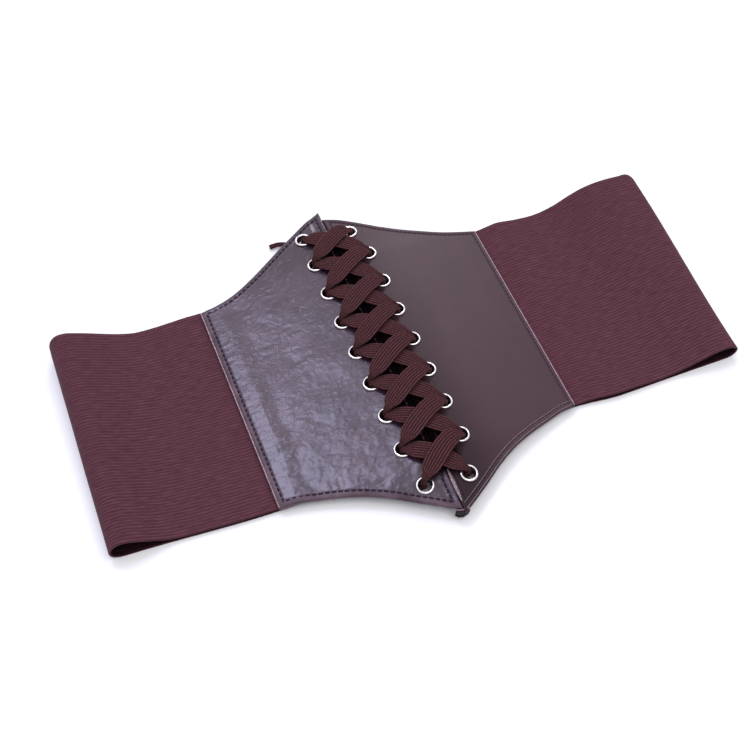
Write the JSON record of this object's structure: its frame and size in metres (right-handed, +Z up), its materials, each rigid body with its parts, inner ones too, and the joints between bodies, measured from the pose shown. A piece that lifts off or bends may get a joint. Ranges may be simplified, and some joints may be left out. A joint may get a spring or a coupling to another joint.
{
  "type": "corset belt",
  "caption": "Flattened corset belt with peaked faux-leather front panels, a lace-up centre with metal eyelets and a wide elastic back band.",
  "frame": {"origin": "middle of the belt's bounding box, on the surface that it lies on", "axes": "+X along the belt's length to the right as seen from above, +Y to the belt's upper edge, +Z up from the surface"},
  "size_m": [0.351, 0.2138, 0.0187],
  "materials": {
    "panel_leather": "glossy, finely crinkled dark plum-brown faux leather",
    "elastic_band": "ribbed woven elastic, wine brown, ribs along the belt",
    "closure_strip": "plain satin faux leather",
    "lace_weave": "flat woven lace with lengthwise ribs, dark brown",
    "eyelet_metal": "bright nickel plate"
  },
  "bodies": {
    "root": {"left_panel": "panel_leather", "right_panel": "panel_leather", "left_elastic": "elastic_band", "right_elastic": "elastic_band", "back_closure": "closure_strip", "lace": "lace_weave", "eyelet_left_1": "eyelet_metal", "eyelet_left_2": "eyelet_metal", "eyelet_left_3": "eyelet_metal", "eyelet_left_4": "eyelet_metal", "eyelet_left_5": "eyelet_metal", "eyelet_left_6": "eyelet_metal", "eyelet_left_7": "eyelet_metal", "eyelet_left_8": "eyelet_metal", "eyelet_left_9": "eyelet_metal", "eyelet_right_1": "eyelet_metal", "eyelet_right_2": "eyelet_metal", "eyelet_right_3": "eyelet_metal", "eyelet_right_4": "eyelet_metal", "eyelet_right_5": "eyelet_metal", "eyelet_right_6": "eyelet_metal", "eyelet_right_7": "eyelet_metal", "eyelet_right_8": "eyelet_metal", "eyelet_right_9": "eyelet_metal"}
  },
  "joints": []
}
